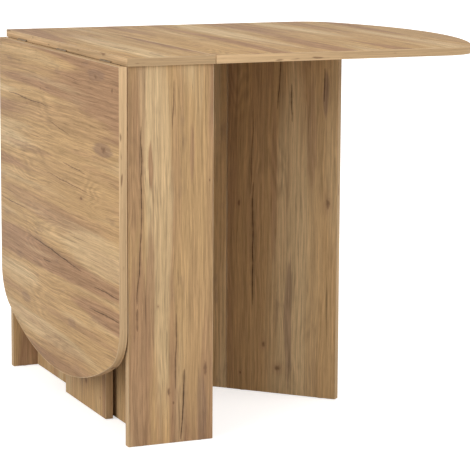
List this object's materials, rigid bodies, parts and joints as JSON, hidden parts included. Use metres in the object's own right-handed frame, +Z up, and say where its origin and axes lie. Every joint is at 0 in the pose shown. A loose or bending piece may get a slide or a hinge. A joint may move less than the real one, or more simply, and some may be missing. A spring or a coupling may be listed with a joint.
{
  "type": "drop leaf table",
  "caption": "Narrow book-style table with D-shaped hinged leaves on both long sides, each carried by a fold-out panel gate, in oak-faced board.",
  "frame": {"origin": "on the floor under the middle of the fixed centre, at the foot of the middle glide", "axes": "+Z up, +Y along the fixed centre from the front end panel to the rear one, +X towards the raised leaf"},
  "size_m": [0.8565, 0.75, 0.75],
  "materials": {
    "oak_board": "melamine faced chipboard with a golden rustic oak print and a fine open grain",
    "edge_band": "one millimetre edge band in the same golden oak print, a little lighter than the faces",
    "hinge_steel": "bronze brown plated pressed steel hinges and pins",
    "screw_steel": "zinc plated screws and bolts",
    "cam_zinc": "die cast zinc cam housings",
    "dowel_wood": "beech dowels",
    "glide_plastic": "white moulded nail-on glides",
    "pad_felt": "brown felt pads"
  },
  "bodies": {
    "base": {"base_glides": "glide_plastic", "cam_bolts": "screw_steel", "cam_housings": "cam_zinc", "centre_top": "oak_board", "centre_top_end_bands": "edge_band", "centre_top_side_bands": "edge_band", "front_end_panel": "oak_board", "front_end_panel_bands": "edge_band", "front_left_packing_board": "oak_board", "front_right_packing_board": "oak_board", "gate_root_pins": "hinge_steel", "gate_root_screws": "screw_steel", "leaf_hinge_pins": "hinge_steel", "left_gate_root_flaps": "hinge_steel", "left_top_hinge_flaps": "hinge_steel", "packing_board_screws": "screw_steel", "rear_end_panel": "oak_board", "rear_end_panel_bands": "edge_band", "rear_left_packing_board": "oak_board", "rear_right_packing_board": "oak_board", "right_gate_root_flaps": "hinge_steel", "right_top_hinge_flaps": "hinge_steel", "spine_board": "oak_board", "top_hinge_screws": "screw_steel", "wooden_dowels": "dowel_wood"},
    "left_leaf": {"left_leaf_board": "oak_board", "left_leaf_edge_band": "edge_band", "left_leaf_hinge_edge_band": "edge_band", "left_leaf_hinge_flaps": "hinge_steel", "left_leaf_hinge_screws": "screw_steel"},
    "right_leaf": {"right_leaf_board": "oak_board", "right_leaf_edge_band": "edge_band", "right_leaf_hinge_edge_band": "edge_band", "right_leaf_hinge_flaps": "hinge_steel", "right_leaf_hinge_screws": "screw_steel"},
    "left_gate_inner": {"left_gate_inner_bands": "edge_band", "left_gate_inner_glides": "glide_plastic", "left_gate_inner_hinge_flaps": "hinge_steel", "left_gate_inner_panel": "oak_board", "left_gate_inner_screws": "screw_steel", "left_gate_seam_pins": "hinge_steel"},
    "left_gate_outer": {"left_gate_leaf_pad": "pad_felt", "left_gate_outer_bands": "edge_band", "left_gate_outer_glides": "glide_plastic", "left_gate_outer_hinge_flaps": "hinge_steel", "left_gate_outer_panel": "oak_board", "left_gate_outer_screws": "screw_steel"},
    "right_gate_inner": {"right_gate_inner_bands": "edge_band", "right_gate_inner_glides": "glide_plastic", "right_gate_inner_hinge_flaps": "hinge_steel", "right_gate_inner_panel": "oak_board", "right_gate_inner_screws": "screw_steel", "right_gate_seam_pins": "hinge_steel"},
    "right_gate_outer": {"right_gate_leaf_pad": "pad_felt", "right_gate_outer_bands": "edge_band", "right_gate_outer_glides": "glide_plastic", "right_gate_outer_hinge_flaps": "hinge_steel", "right_gate_outer_panel": "oak_board", "right_gate_outer_screws": "screw_steel"}
  },
  "joints": [
    {"name": "left_leaf_hinge", "type": "hinge", "parent": "base", "child": "left_leaf", "pos_m": [-0.0905, 0, 0.734], "axis": [0, 1, 0], "range_deg": [0, 92.5]},
    {"name": "right_leaf_hinge", "type": "hinge", "parent": "base", "child": "right_leaf", "pos_m": [0.0905, 0, 0.734], "axis": [0, -1, 0], "range_deg": [0, 2.5]},
    {"name": "right_gate_root_hinge", "type": "hinge", "parent": "base", "child": "right_gate_inner", "pos_m": [0.0355, 0.272, 0.365], "axis": [0, 0, -1], "range_deg": [0, 43.7]},
    {"name": "right_gate_seam_hinge", "type": "hinge", "parent": "right_gate_inner", "child": "right_gate_outer", "pos_m": [0.28698, 0.00884, 0.365], "axis": [0, 0, 1], "range_deg": [0, 180.01]},
    {"name": "left_gate_root_hinge", "type": "hinge", "parent": "base", "child": "left_gate_inner", "pos_m": [-0.0355, -0.272, 0.365], "axis": [0, 0, 1], "range_deg": [0, 1.5]},
    {"name": "left_gate_seam_hinge", "type": "hinge", "parent": "left_gate_inner", "child": "left_gate_outer", "pos_m": [-0.0355, 0.092, 0.365], "axis": [0, 0, -1], "range_deg": [0, 6.19]}
  ],
  "couplings": [
    {"joint": "right_gate_seam_hinge", "follows": "right_gate_root_hinge", "ratio": 4.119},
    {"joint": "left_gate_seam_hinge", "follows": "left_gate_root_hinge", "ratio": 4.119}
  ]
}
